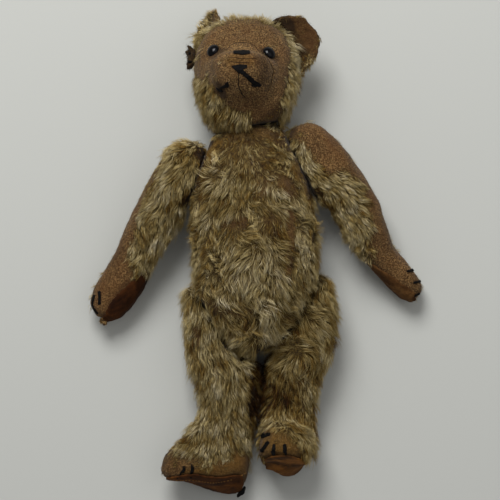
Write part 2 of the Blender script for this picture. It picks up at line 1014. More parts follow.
SOLE_THREAD = ThreadFinish("Sole thread", dark=linear(140, 96, 46), light=linear(204, 162, 98))
BLACK_THREAD = ThreadFinish("Black thread", dark=linear(5, 4, 4), light=linear(26, 20, 16))
BOOT_BUTTON = ButtonFinish("Boot button", black=linear(3, 3, 5), hazed=linear(9, 9, 13))
WOOD_WOOL = PlainFinish("Wood wool", dark=linear(120, 88, 48), light=linear(190, 158, 104),
                        grain=900.0, stretch=4.0, metal=0.0, rough=(0.7, 0.9), bump=0.9)
INSIDE_FINISHES = {
    "disc": PlainFinish("Fibreboard", dark=linear(86, 62, 40), light=linear(122, 92, 62),
                        grain=500.0, stretch=1.0, metal=0.0, rough=(0.7, 0.85), bump=0.3),
    "washer": PlainFinish("Dull steel", dark=linear(96, 92, 88), light=linear(156, 154, 150),
                          grain=700.0, stretch=1.0, metal=1.0, rough=(0.35, 0.6), bump=0.15),
    "cotter": PlainFinish("Pin steel", dark=linear(100, 94, 88), light=linear(164, 160, 156),
                          grain=900.0, stretch=3.0, metal=1.0, rough=(0.3, 0.55), bump=0.15),
}


# ---------------------------------------------------------------- hair

@dataclass(frozen=True)
class Coat:
    """How a part's hair grows.

    Attributes:
        locks: How many bent locks it has.
        strands: How many long single hairs.
        fuzz: How many short hairs it has.
        length: A lock's usual length in mm.
        width: Its width at the root.
        lift: How steeply it leaves the cloth, from 0 to 1.
        front: How much denser its front is grown than its back.
        tone: The middle of its tones, from 0, dark, to 1, straw.
    """
    locks: int
    strands: int
    fuzz: int
    length: float = 7.6
    width: float = 0.32
    lift: float = 0.42
    front: float = 1.6
    tone: float = 0.6


class Hair:
    """Grows hair on a finished skin as one mesh of closed, tapering strands."""

    def __init__(self, name: str, skin: bpy.types.Object, wear: Wear, comb: Comb, coat: Coat,
                 bare: "BareRule", seed: int) -> None:
        """Reads the skin's triangles.

        Args:
            name: The hair's own name.
            skin: What it grows on.
            wear: The skin's patches.
            comb: Which way the hair lies.
            coat: How much of it grows.
            bare: Where none grows.
            seed: Picks its random draws.
        """
        self.name, self.wear, self.comb, self.coat, self.seed = name, wear, comb, coat, seed
        self.rng = np.random.default_rng(SEED + 101 * seed)
        mesh = skin.data
        mesh.calc_loop_triangles()
        faces = np.empty(len(mesh.loop_triangles) * 3, np.int32)
        mesh.loop_triangles.foreach_get("vertices", faces)
        points, normals = corners(mesh), normals_of(mesh)
        self.at, self.up = points[faces.reshape(-1, 3)], normals[faces.reshape(-1, 3)]
        self.middle = self.at.mean(1)
        first, second = self.at[:, 1] - self.at[:, 0], self.at[:, 2] - self.at[:, 0]
        self.area = np.linalg.norm(np.cross(first, second), axis=1)
        self.look = wear.look(self.middle)
        self.open = bare.open(self.middle)

    def roots(self, count: int, thick: np.ndarray) -> tuple[np.ndarray, np.ndarray]:
        """Picks roots over the skin.

        Args:
            count: How many.
            thick: Each triangle's wanted density.

        Returns:
            The roots and the normals there.
        """
        front = 1 + (self.coat.front - 1) * ease(self.middle[:, 2], 15.0, 35.0)
        share = self.area * thick * self.open * front
        share = share / share.sum()
        chosen = self.rng.choice(len(share), count, p=share)
        first, second = self.rng.random((2, count, 1))
        over = (first + second) > 1
        first, second = np.where(over, 1 - first, first), np.where(over, 1 - second, second)
        third = 1 - first - second
        at, up = self.at[chosen], self.up[chosen]
        return (at[:, 0] * third + at[:, 1] * first + at[:, 2] * second,
                unit(up[:, 0] * third + up[:, 1] * first + up[:, 2] * second))

    def tones(self, look: Look, middle: float, spread: float) -> np.ndarray:
        """Each hair's tone, from its place's stains and by chance.

        Args:
            look: The wear at each root.
            middle: The middle of the tones before the stains.
            spread: How far they stray from it.

        Returns:
            Tones from 0, dark, to 1, straw.
        """
        tone = middle + spread * self.rng.normal(size=len(look.pile))
        tone += 0.32 * look.pale - 0.30 * look.stain - 0.56 * look.soot - 0.20 * look.rust
        return np.clip(tone, 0.02, 0.98)

    def course(self, root: np.ndarray, up: np.ndarray, look: Look) -> tuple[np.ndarray, np.ndarray]:
        """Where long hairs go, before they are gathered into tufts.

        Args:
            root: Their roots.
            up: The skin's normal at each root.
            look: The wear at each root.

        Returns:
            The middle and the tip of each.
        """
        coat, rng, count = self.coat, self.rng, len(root)
        way = self.comb.lie(root, up, self.seed)
        length = coat.length * look.tall * (0.12 + 0.88 * look.pile) * np.exp(rng.normal(0, 0.24, count))
        lift = coat.lift * rng.uniform(0.5, 1.4, count)[:, None]
        first = unit(up * lift + way * (1 - 0.5 * lift) + rng.normal(0, 0.15, (count, 3)))
        second = unit(up * lift * 0.25 + way + rng.normal(0, 0.22, (count, 3)))
        middle = root + first * length[:, None] * 0.46
        return middle, middle + second * length[:, None] * 0.54

    def tufts(self, root: np.ndarray) -> tuple[np.ndarray, np.ndarray]:
        """Gathers long hairs into tufts.

        Args:
            root: Their roots.

        Returns:
            The hair that leads each one's tuft, and whether it is near enough to follow.
        """
        count = len(root)
        leaders = self.rng.choice(count, max(count // HAIRS_IN_TUFT, 1), replace=False)
        tree = spot_tree(root[leaders], range(len(leaders)))
        nearest = leaders[[tree.find(spot)[1] for spot in root]]
        return nearest, (np.linalg.norm(root[nearest] - root, axis=1) < TUFT_REACH)[:, None]

    def long(self) -> tuple[tuple, tuple]:
        """The bent locks and the long single hairs, drawn together into tufts.

        Returns:
            Two sets: the points (N, 7, 3) or (N, 4, 3), the tones and the rises.
        """
        coat, rng = self.coat, self.rng
        count = coat.locks + coat.strands
        root, up = self.roots(count, np.maximum(self.look.pile - BALD_SHARE, 0.0) ** 1.4)
        look = self.wear.look(root)
        middle, tip = self.course(root, up, look)
        nearest, near = self.tufts(root)
        pull = rng.uniform(0.3, 0.8, count)[:, None] * near
        tip = tip + (tip[nearest] - tip) * pull
        middle = middle + (middle[nearest] - middle) * pull * 0.4
        tone = self.tones(look, coat.tone, 0.17) - 0.22 * (1 - look.pile) ** 2
        tone += 0.17 * ripple(root, 17.0, 90 + self.seed) + 0.08 * ripple(root, 5.0, 95 + self.seed)
        tone = np.clip(tone + 0.4 * (tone[nearest] - tone), 0.02, 0.98)
        side = unit(np.cross(tip - root, up + 1e-3))
        root = root - up * 0.35
        width = (coat.width * np.exp(rng.normal(0, 0.25, count)))[:, None]
        ring = [at + side * width * across + up * width * over
                for at, half, thick in ((root, 0.42, 0.5), (middle, 0.5, 0.55))
                for across, over in ((half, 0), (0, thick), (-half, 0))]
        bent, fine = slice(0, coat.locks), slice(coat.locks, count)
        locks = np.stack([*ring, tip], 1)[bent]
        across, thick = side * width * 0.34, up * width * 0.5
        hairs = np.stack([root + across, root + thick, root - across, tip], 1)[fine]
        return ((locks, tone[bent], np.array([0.0, 0.0, 0.0, 0.5, 0.5, 0.5, 1.0])),
                (hairs, tone[fine], np.array([0.0, 0.0, 0.0, 1.0])))

    def short(self) -> tuple[np.ndarray, np.ndarray, np.ndarray]:
        """The short hairs.

        Returns:
            Their points (N, 4, 3), tones and rises.
        """
        coat, rng = self.coat, self.rng
        root, up = self.roots(coat.fuzz, 1.0 - 0.55 * self.look.pile)
        look = self.wear.look(root)
        way = self.comb.lie(root, up, self.seed)
        count = len(root)
        length = (1.1 + 2.6 * look.pile * look.tall) * np.exp(rng.normal(0, 0.35, count))
        lean = up * rng.uniform(0.3, 1.0, count)[:, None] + way * 0.8
        lean = unit(lean + rng.normal(0, 0.35, (count, 3)))
        tip = root + lean * length[:, None]
        root = root - up * 0.25
        side = unit(np.cross(lean, up + 1e-3))
        width = (0.28 * np.exp(rng.normal(0, 0.2, count)) * (0.7 + 0.3 * look.pile))[:, None]
        across = side * width / 2
        points = np.stack([root + across, root + up * width * 0.6, root - across, tip], 1)
        tone = self.tones(look, coat.tone - 0.06 - 0.20 * (1 - look.pile), 0.2)
        return points, tone, np.array([0.1, 0.1, 0.1, 0.75])

    def build(self) -> bpy.types.Object:
        """Grows everything.

        Returns:
            The hair as one object.
        """
        points, faces, sizes, spots, first = [], [], [], [], 0
        tip_last = ((0, 1, 4, 3), (1, 2, 5, 4), (2, 0, 3, 5), (3, 4, 6), (4, 5, 6), (5, 3, 6))
        spike = ((2, 1, 0), (0, 1, 3), (1, 2, 3), (2, 0, 3))
        locks, hairs = self.long()
        for grown, pattern in ((locks, ((2, 1, 0), *tip_last)), (hairs, spike), (self.short(), spike)):
            strands, tones, rises = grown
            count, each = strands.shape[:2]
            order = np.concatenate([np.array(face) for face in pattern])
            starts = first + each * np.arange(count)
            faces.append((starts[:, None] + order).ravel())
            sizes.append(np.tile([len(face) for face in pattern], count))
            corner = np.arange(each) % 3
            across = tones[:, None] + (corner - 1) * 0.006
            high = rises + np.where(corner == 1, 0.02, 0.0) * (rises < 0.3)
            map_places = np.stack([across[:, order % each], np.tile(high[order], (count, 1))], 2)
            spots.append(map_places.reshape(-1, 2))
            points.append(strands.reshape(-1, 3))
            first += count * each
        places = np.concatenate(points)
        places[:, 2] = np.maximum(places[:, 2], FLOOR_CLEAR)
        return smooth_shaded(mesh_from(self.name, places, np.concatenate(faces), np.concatenate(sizes),
                                       np.concatenate(spots)))


def mesh_from(name: str, points: np.ndarray, order: np.ndarray, sizes: np.ndarray,
              spots: np.ndarray) -> bpy.types.Object:
    """A mesh object from flat arrays.

    Args:
        name: The object's name.
        points: The points in mm.
        order: The faces' points, one face after another.
        sizes: How many points each face has.
        spots: The hair map's place of each face corner.

    Returns:
        The object, at the origin.
    """
    mesh = bpy.data.meshes.new(name)
    mesh.vertices.add(len(points))
    mesh.vertices.foreach_set("co", (points * MM).astype(np.float32).ravel())
    mesh.loops.add(len(order))
    mesh.loops.foreach_set("vertex_index", order.astype(np.int32))
    mesh.polygons.add(len(sizes))
    mesh.polygons.foreach_set("loop_start", np.concatenate([[0], np.cumsum(sizes)[:-1]]).astype(np.int32))
    layer = mesh.uv_layers.new(name=HAIR_MAP)
    layer.data.foreach_set("uv", spots.astype(np.float32).ravel())
    mesh.update(calc_edges=True)
    mesh.validate()
    return new_object(name, mesh)


@dataclass
class BareRule:
    """Where no hair grows: under felt and stitches, and where a joint presses two covers together.

    Attributes:
        covered: A search tree over what lies on the cover.
        joints: The centre and the axis of each joint.
        box: The lowest and the highest corner of what lies on the cover.
        clear: How far from it the hair starts.
    """
    covered: BVHTree | None
    joints: tuple[tuple[np.ndarray, np.ndarray], ...]
    box: tuple[np.ndarray, np.ndarray] | None = None
    clear: float = 1.1

    def open(self, points: np.ndarray) -> np.ndarray:
        """Where hair may grow.

        Args:
            points: Places in mm, one a row.

        Returns:
            1 where it may grow, down to 0 where it may not.
        """
        free = np.ones(len(points))
        if self.covered is not None:
            for index in np.flatnonzero(near_box(points, *self.box, 2.0)):
                gap = self.covered.find_nearest(Vector(points[index]), 3.0)[3]
                if gap is not None:
                    free[index] *= min(max((gap - self.clear) / 0.8, 0.0), 1.0)
        for centre, axis in self.joints:
            depth, radius = around(points, centre, axis)
            free *= 1 - (np.abs(depth) < DISC_DEPTH) * (radius < DISC_REACH)
        return free


NO_BARE_RULE = BareRule(None, ())


def paint_wear(skin: bpy.types.Object, wear: Wear) -> None:
    """Paints the wear on a skin: pile, stain and soot as colours, and rust as alpha.

    Args:
        skin: The skin.
        wear: Its patches.
    """
    look = wear.look(corners(skin.data))
    paint = skin.data.color_attributes.new("wear", "FLOAT_COLOR", "POINT")
    paint.data.foreach_set("color", np.stack([look.pile, look.stain, look.soot, look.rust], 1)
                           .astype(np.float32).ravel())


# ---------------------------------------------------------------- padded parts

@dataclass
class SoftPart:
    """One sewn, stuffed part: its skin from the frame, blown up as cloth, and its hair.

    Attributes:
        name: The body it rides on, and the start of its pieces' names.
        wear: Its patches.
        comb: Which way its pile lies.
        coat: How much hair it has.
        seams: Its sewn seams.
        attached: The CAD nodes that lie on its cover.
        voxel: The remesh size in mm.
        lumps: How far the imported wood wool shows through.
        seed: Picks its random draws.
    """
    name: str
    wear: Wear
    comb: Comb
    coat: Coat
    seams: tuple[Seam, ...]
    attached: tuple[str, ...]
    voxel: float = 3.6
    lumps: float = 0.4
    seed: int = 1
    planes: list = field(default_factory=list, init=False)
    skin: bpy.types.Object | None = field(default=None, init=False)
    hair: bpy.types.Object | None = field(default=None, init=False)

    def joint_planes(self, frame: dict) -> list[tuple[np.ndarray, np.ndarray]]:
        """Finds the joints that this part turns on.

        Args:
            frame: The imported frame.

        Returns:
            Each one's centre in mm, and the direction towards this part's side.
        """
        planes = []
        middle = np.array(sum(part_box(self.name + "_cover"), Vector())) / 2 / MM
        for joint in frame["joints"]:
            if self.name in (joint["parent"], joint["child"]):
                centre = np.array(joint["pos_m"]) / MM
                axis = np.array(joint["axis"], float)
                axis = axis / np.linalg.norm(axis)
                planes.append((centre, axis * (1 if (middle - centre) @ axis > 0 else -1)))
        return planes

    def take_form(self, frame: dict) -> None:
        """Starts the skin from the frame's cover: its bores are closed, and it is remeshed evenly.

        Args:
            frame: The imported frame.
        """
        obj = merged_copy(frame["nodes"][self.name + "_cover"], self.name + "_mohair")
        self.planes = self.joint_planes(frame)
        work = bmesh.new()
        work.from_mesh(obj.data)
        points = corners(obj.data)
        bored = np.zeros(len(points), bool)
        for centre, axis in self.planes:
            depth, radius = around(points, centre, axis)
            bored |= (radius < BORE_REACH) & (np.abs(depth) < BORE_DEPTH)
        doomed = [face for face in work.faces if all(bored[corner.index] for corner in face.verts)]
        bmesh.ops.delete(work, geom=doomed, context="FACES")
        bmesh.ops.holes_fill(work, edges=[edge for edge in work.edges if edge.is_boundary])
        work.to_mesh(obj.data)
        work.free()
        pattern = new_object(self.name + "_pattern", obj.data.copy())
        add_remesh(obj, self.voxel)
        for rounds in (10, 4):
            wrap = obj.modifiers.new("To the pattern", "SHRINKWRAP")
            wrap.target = pattern
            apply_modifiers(obj)
            relax(obj.data, rounds)
        bpy.data.objects.remove(pattern)
        self.skin = obj

    def held(self, points: np.ndarray) -> np.ndarray:
        """Where the cloth is held still: at its seams, on the floor, and at the joints' discs.

        Args:
            points: The cloth's points.

        Returns:
            1 for a point that is held, down to 0 for a free one.
        """
        hold = 1 - ease(points[:, 2], 0.5, 3.0)
        for centre, axis in self.planes:
            depth, radius = around(points, centre, axis)
            hold = np.maximum(hold, (np.abs(depth) < 3.0) * (radius < JOINT_REACH) * 1.0)
        for seam in self.seams:
            for start, end in zip(seam.places, seam.places[1:]):
                far, _ = along_segment(points, start, end)
                hold = np.maximum(hold, 1 - ease(far, 2.0, 4.5))
        return hold

    def inflate(self, pressure: float = 4.0, cap: float = 2.2) -> None:
        """Blows the skin up as cloth held at its seams, and caps how far any point goes.

        Args:
            pressure: How hard it is filled.
            cap: The furthest that a point may go, in mm.
        """
        obj = self.skin
        before = corners(obj.data)
        group = obj.vertex_groups.new(name="held")
        for index, weight in enumerate(self.held(before)):
            if weight > 0.02:
                group.add([index], float(weight), "REPLACE")
        pick(obj)
        bpy.ops.object.modifier_add(type="CLOTH")
        cloth = obj.modifiers[-1]
        rules = cloth.settings
        rules.quality, rules.mass = 6, 0.25
        rules.tension_stiffness = rules.compression_stiffness = 18.0
        rules.shear_stiffness, rules.bending_stiffness = 8.0, 0.6
        rules.use_pressure, rules.uniform_pressure_force = True, pressure
        rules.effector_weights.gravity = 0.0
        rules.vertex_group_mass, rules.pin_stiffness = "held", 1.0
        cloth.collision_settings.use_collision = False
        for number in range(CLOTH_FRAMES):
            bpy.context.scene.frame_set(1 + number)
        bpy.ops.object.modifier_apply(modifier=cloth.name)
        bpy.context.scene.frame_set(1)
        obj.vertex_groups.clear()
        shift = corners(obj.data) - before
        far = np.linalg.norm(shift, axis=1, keepdims=True)
        place(obj.data, before + shift * np.minimum(1.0, cap / np.maximum(far, 1e-6)))

    def refine(self, frame: dict) -> None:
        """Subdivides the skin, then adds lumps and seams, and settles it under what is sewn on.

        Args:
            frame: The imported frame.
        """
        obj = self.skin
        subdivide(obj)
        points, normals = corners(obj.data), normals_of(obj.data)
        lump = ripple(points, 26.0, 31 + self.seed) + 0.45 * ripple(points, 9.0, 41 + self.seed)
        points += normals * (self.lumps * lump)[:, None]
        for seam in self.seams:
            far = np.full(len(points), 1e9)
            for start, end in zip(seam.places, seam.places[1:]):
                far = np.minimum(far, along_segment(points, start, end)[0])
            rim = np.exp(-((far - 2.4 * seam.width) / seam.width) ** 2)
            dip = np.exp(-(far / seam.width) ** 2) - 0.35 * rim
            points -= normals * (seam.depth * dip)[:, None]
        set_down(obj, tugged(self.settle(points, frame), self.name), SKIN_CLEAR)

    def settle(self, points: np.ndarray, frame: dict) -> np.ndarray:
        """Keeps the skin under what is sewn to it, behind the joint planes and off the floor.

        Args:
            points: The skin's points.
            frame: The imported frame.

        Returns:
            The points, moved.
        """
        cover = tree_of(frame["nodes"][self.name + "_cover"])
        sewn = [frame["nodes"][node] for node in self.attached]
        if sewn:
            over = tree_of(*sewn)
            places = np.concatenate([corners(node.data) for node in sewn])
            for index in np.flatnonzero(near_box(points, places.min(0), places.max(0), SEWN_REACH)):
                point = points[index]
                near = over.find_nearest(Vector(point), SEWN_REACH)[3]
                if near is not None:
                    spot, normal, _, _ = cover.find_nearest(Vector(point), SEWN_REACH)
                    if spot is not None:
                        share = float(1 - ease(np.array([near]), 2.2, SEWN_REACH)[0])
                        target = np.array(spot) - 0.25 * np.array(normal)
                        points[index] += (target - point) * share
        for centre, axis in self.planes:
            depth, radius = around(points, centre, axis)
            short = np.where(radius < JOINT_REACH, np.maximum(JOINT_CLEAR - depth, 0.0), 0.0)
            points = points + np.where(short < 8.0, short, 0.0)[:, None] * axis
        points[:, 2] = np.maximum(points[:, 2], SKIN_CLEAR)
        return points

    def dress(self, frame: dict, cloth: bpy.types.Material, pile: bpy.types.Material) -> None:
        """Grows the hair, gives both pieces their finishes and puts them on their body.

        Args:
            frame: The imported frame.
            cloth: The skin's finish.
            pile: The hair's finish.
        """
        covered, box = None, None
        if self.attached:
            nodes = [frame["nodes"][node] for node in self.attached]
            covered = tree_of(*nodes, body=self.name)
            places = tugged(np.concatenate([corners(node.data) for node in nodes]), self.name)
            box = places.min(0), places.max(0)
        rule = BareRule(covered, tuple(self.planes), box)
        self.hair = Hair(self.name + "_pile", self.skin, self.wear, self.comb, self.coat, rule,
                         self.seed).build()
        for piece, finish in ((self.skin, cloth), (self.hair, pile)):
            finish_piece(piece, finish, self.name)
        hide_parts(self.name + "_cover")

    def build(self, frame: dict, cloth: bpy.types.Material, pile: bpy.types.Material) -> None:
        """Makes the whole part.

        Args:
            frame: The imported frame.
            cloth: The skin's finish.
            pile: The hair's finish.
        """
        self.take_form(frame)
        self.inflate()
        self.refine(frame)
        paint_wear(self.skin, self.wear)
        self.dress(frame, cloth, pile)
        LOG.info("%s: skin %d faces, pile %d faces", self.name, len(self.skin.data.polygons),
                 len(self.hair.data.polygons))


# ---------------------------------------------------------------- small pieces

@dataclass
class Ear:
    """A cupped ear of two layers of cloth, bald inside and tufted along its edge."""
    name: str
    wear: Wear
    comb: Comb
    coat: Coat
    seed: int

    def build(self, frame: dict, cloth: bpy.types.Material, pile: bpy.types.Material) -> None:
        """Makes the ear and its hair.

        Args:
            frame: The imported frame.
            cloth: The skin's finish.
            pile: The hair's finish.
        """
        skin = remeshed_copy(frame["nodes"][self.name], self.name + "_mohair", 1.0, 8)
        points, normals = corners(skin.data), normals_of(skin.data)
        points += normals * (0.25 * ripple(points, 7.0, 61 + self.seed))[:, None]
        set_down(skin, tugged(points, self.name))
        paint_wear(skin, self.wear)
        hair = Hair(self.name + "_pile", skin, self.wear, self.comb, self.coat, NO_BARE_RULE,
                    self.seed).build()
        for piece, finish in ((skin, cloth), (hair, pile)):
            finish_piece(piece, finish, "head")
        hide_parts(self.name)


@dataclass
class StitchWork:
    """A thick stitch: its block in the frame becomes laid threads.

    Attributes:
        name: Its node in the frame.
        body: The body it rides on.
        ridge: How far its threads stand out.
        pitch: From thread to thread.
        voxel: The remesh size.
        swell: How much thicker it is than its node.
        taper: How much its two ends narrow, from 0 to 1.
        shift: How far it is moved.
        bow: How far its middle is moved, so that it runs in an arch.
        rest: How high its middle lies above the cover, or None where it lies on no cover.
    """
    name: str
    body: str
    ridge: float = 0.14
    pitch: float = 0.72
    voxel: float = 0.36
    swell: float = 0.15
    taper: float = 0.0
    shift: Point = (0.0, 0.0, 0.0)
    bow: Point = (0.0, 0.0, 0.0)
    rest: float | None = 0.4

    def settled(self, points: np.ndarray, skins: BVHTree) -> np.ndarray:
        """Draws each stretch of the stitch down to its cover.

        Args:
            points: The stitch's points.
            skins: A search tree over what it lies on.

        Returns:
            The points, moved.
        """
        near = [skins.find_nearest(Vector(spot))[:2] for spot in points]
        feet, ups = np.array([foot for foot, _ in near]), np.array([up for _, up in near])
        height = ((points - feet) * ups).sum(1)
        tree = spot_tree(points[::4], range(0, len(points), 4))
        beside = [[index for _, index, _ in tree.find_range(spot, 1.7)] or [number]
                  for number, spot in enumerate(points)]
        over = np.array([height[indices].mean() for indices in beside]) - self.rest
        return points - ups * np.clip(over, -1.5, 3.0)[:, None]

    def build(self, frame: dict, skins: BVHTree, finish: bpy.types.Material) -> None:
        """Makes the stitch and draws its threads in relief.

        Args:
            frame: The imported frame.
            skins: A search tree over what it lies on.
            finish: The thread's finish.
        """
        obj = remeshed_copy(frame["nodes"][self.name], self.name + "_threads", self.voxel, 5)
        points, normals = corners(obj.data), normals_of(obj.data)
        spread = points - points.mean(0)
        _, _, axes = np.linalg.svd(spread, full_matrices=False)
        waves = np.cos(2 * math.pi * (spread @ axes[1]) / self.pitch)
        points += normals * (self.swell + self.ridge * waves + 0.10 * ripple(points, 2.6, 71))[:, None]
        if self.taper:
            middle = points.mean(0)
            reach = (points[:, 0] - middle[0]) / np.ptp(points[:, 0]) * 2
            narrow = 1 - self.taper * np.clip(np.abs(reach), 0, 1) ** 1.5
            points[:, 1] = middle[1] + (points[:, 1] - middle[1]) * narrow + 0.3 * reach
        along = spread @ axes[0]
        arch = 1 - (along / np.abs(along).max()) ** 2
        points = tugged(points, self.body) + np.array(self.shift) + arch[:, None] * np.array(self.bow)
        if self.rest is not None:
            points = self.settled(points, skins)
        set_down(obj, points)
        finish_piece(obj, finish, self.body)
        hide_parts(self.name)


def steps_in(length: float) -> int:
    """How many steps a stretch of laid thread has."""
    return max(int(length / THREAD_STEP), 1)


@dataclass(frozen=True)
class LaidThread:
    """A thread that follows a cover, half sunk in its nap: an unbroken seam or a row of stitches.

    Attributes:
        name: The piece's name.
        body: The body it rides on.
        runs: Its runs, each through a few places.
        radius: The thread's radius.
        stitch: Each stitch's length, or 0 for an unbroken thread.
        gap: The gap from stitch to stitch.
        stray: How far it wanders.
        free: Whether it hangs loose where its places are.
    """
    name: str
    body: str
    runs: tuple[tuple[Point, ...], ...]
    radius: float = 0.28
    stitch: float = 0.0
    gap: float = 0.8
    stray: float = 0.15
    free: bool = False

    def course(self, run: tuple[Point, ...]) -> np.ndarray:
        """A smooth line through a run's places, at even steps.

        Args:
            run: The places.

        Returns:
            The line's points.
        """
        places = np.array([run[0], *run, run[-1]], float)
        line = []
        for before, start, end, after in zip(places, places[1:], places[2:], places[3:]):
            steps = steps_in(float(np.linalg.norm(end - start)))
            for share in np.arange(steps) / steps:
                line.append(0.5 * (2 * start + (end - before) * share
                                   + (2 * before - 5 * start + 4 * end - after) * share ** 2
                                   + (3 * start - before - 3 * end + after) * share ** 3))
        return np.array([*line, places[-2]])

    def build(self, skins: BVHTree, finish: bpy.types.Material, seed: int) -> None:
        """Lays every run on the cover and gives it thickness.

        Args:
            skins: A search tree over what it lies on.
            finish: The thread's finish.
            seed: Picks its random draws.
        """
        curve = bpy.data.curves.new(self.name, "CURVE")
        curve.dimensions, curve.bevel_depth, curve.bevel_resolution = "3D", self.radius * MM, 1
        curve.use_fill_caps = True
        rng = np.random.default_rng(SEED + 400 + seed)
        for run in self.runs:
            line = tugged(self.course(run), self.body)
            line += self.stray * np.stack([ripple(line, 5.0, 410 + seed + axis) for axis in range(3)], 1)
            laid = list(line) if self.free else []
            for spot in line[len(laid):]:
                at, normal, _, _ = skins.find_nearest(Vector(spot))
                laid.append(np.array(at) + np.array(normal) * self.radius * 0.35)
            length = steps_in(self.stitch) if self.stitch else len(laid)
            first = 0
            while first < len(laid) - 1:
                piece = laid[first:first + length + 1]
                if len(piece) > 1:
                    spline = curve.splines.new("POLY")
                    spline.points.add(len(piece) - 1)
                    for number, (point, spot) in enumerate(zip(spline.points, piece)):
                        point.co = (*(spot * MM), 1.0)
                        whole = 0.55 if number in (0, len(piece) - 1) else 1.0
                        point.radius = whole * rng.uniform(0.8, 1.2)
                first += length + (steps_in(self.gap) if self.stitch else 0)
        obj = bpy.data.objects.new(self.name, curve)
        bpy.context.scene.collection.objects.link(obj)
        pick(obj)
        bpy.ops.object.convert(target="MESH")
        obj = bpy.context.object
        smooth_shaded(obj)
        obj.data.materials.clear()
        finish_piece(obj, finish, self.body)


@dataclass
class Pad:
    """A felt paw pad or sole, felted soft at its edges."""
    name: str
    body: str
    finish: FeltFinish

    def build(self, frame: dict, finish: bpy.types.Material) -> bpy.types.Object:
        """Makes the pad.

        Args:
            frame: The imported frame.
            finish: The felt's finish.

        Returns:
            The pad.
        """
        obj = remeshed_copy(frame["nodes"][self.name], self.name + "_felt", 1.0, 8)
        points, normals = corners(obj.data), normals_of(obj.data)
        points += normals * (0.10 * ripple(points, 5.0, 81))[:, None]
        set_down(obj, tugged(points, self.body))
        finish_piece(obj, finish, self.body)
        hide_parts(self.name)
        return obj


@dataclass
class Filling:
    """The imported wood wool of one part, drawn in a little from its cover and tugged with it."""
    body: str
    inset: float = 0.9

    def build(self, frame: dict, finish: bpy.types.Material) -> None:
        """Makes the filling from the frame's own.

        Args:
            frame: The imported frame.
            finish: The wood wool's finish.
        """
        name = self.body + "_stuffing"
        obj = merged_copy(frame["nodes"][name], self.body + "_wood_wool")
        points = corners(obj.data) - normals_of(obj.data) * self.inset
        place(obj.data, tugged(points, self.body))
        smooth_shaded(obj)
        finish_piece(obj, finish, self.body)
        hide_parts(name)


@dataclass
class TornScrap:
    """A curled, dirty scrap of cloth at a torn edge, with frayed hair."""
    name: str
    body: str
    skin_slot: str
    at: Point
    size: Point
    wear: Wear
    comb: Comb
    coat: Coat
    seed: int = 9

    def build(self, cloth: bpy.types.Material, pile: bpy.types.Material) -> None:
        """Makes the scrap and its hair.

        Args:
            cloth: The cloth's finish.
            pile: The hair's finish.
        """
        pick_nothing()
        bpy.ops.mesh.primitive_ico_sphere_add(subdivisions=4, radius=MM, location=(0, 0, 0))
        skin = bpy.context.object
        skin.name = skin.data.name = self.name
        ball = corners(skin.data)
        points = ball * np.array(self.size)
        points += ball * (0.9 * ripple(points, 6.0, 97) + 0.35 * ripple(points, 2.4, 98))[:, None]
        points[:, 0] -= 0.05 * points[:, 1] ** 2 * np.sign(self.size[0])
        place(skin.data, points + np.array(self.at))
        smooth_shaded(skin)
        paint_wear(skin, self.wear)
        hair = Hair(self.name + "_pile", skin, self.wear, self.comb, self.coat, NO_BARE_RULE,
                    self.seed).build()
        for piece, finish in ((skin, cloth), (hair, pile)):
            finish_piece(piece, finish, self.body)


@dataclass
class ButtonEye:
    """A domed black boot button on its shank, pulled down into the stuffing.

    Attributes:
        name: Its node in the frame.
        swell: What its width, height and depth are multiplied by.
        sink: How far down it is pulled.
    """
    name: str
    swell: Point = (1.2, 1.33, 1.0)
    sink: float = 3.1

    def build(self, frame: dict, finish: bpy.types.Material) -> None:
        """Makes the button from the frame's own, with a rounder dome.

        Args:
            frame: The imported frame.
            finish: The button's finish.
        """
        obj = merged_copy(frame["nodes"][self.name], self.name + "_button")
        subdivide(obj)
        points = corners(obj.data)
        middle = points.mean(0)
        points = tugged(middle[None], "head") + (points - middle) * self.swell
        points[:, 2] -= self.sink
        place(obj.data, points)
        smooth_shaded(obj)
        finish_piece(obj, finish, "head")
        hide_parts(self.name)


def finish_insides(frame: dict) -> None:
    """Gives the hidden discs, washers and pins their finishes.

    Args:
        frame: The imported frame.
    """
    made = {key: finish.material() for key, finish in INSIDE_FINISHES.items()}
    for name, node in frame["nodes"].items():
        for key, material in made.items():
            if key in name:
                node.data.materials.clear()
                node.data.materials.append(material)


# ---------------------------------------------------------------- the bear's own places

def claws(body: str, count: int) -> tuple[str, ...]:
    """The names of a paw's claws."""
    return tuple(f"claw_{body}_{number}" for number in range(1, count + 1))


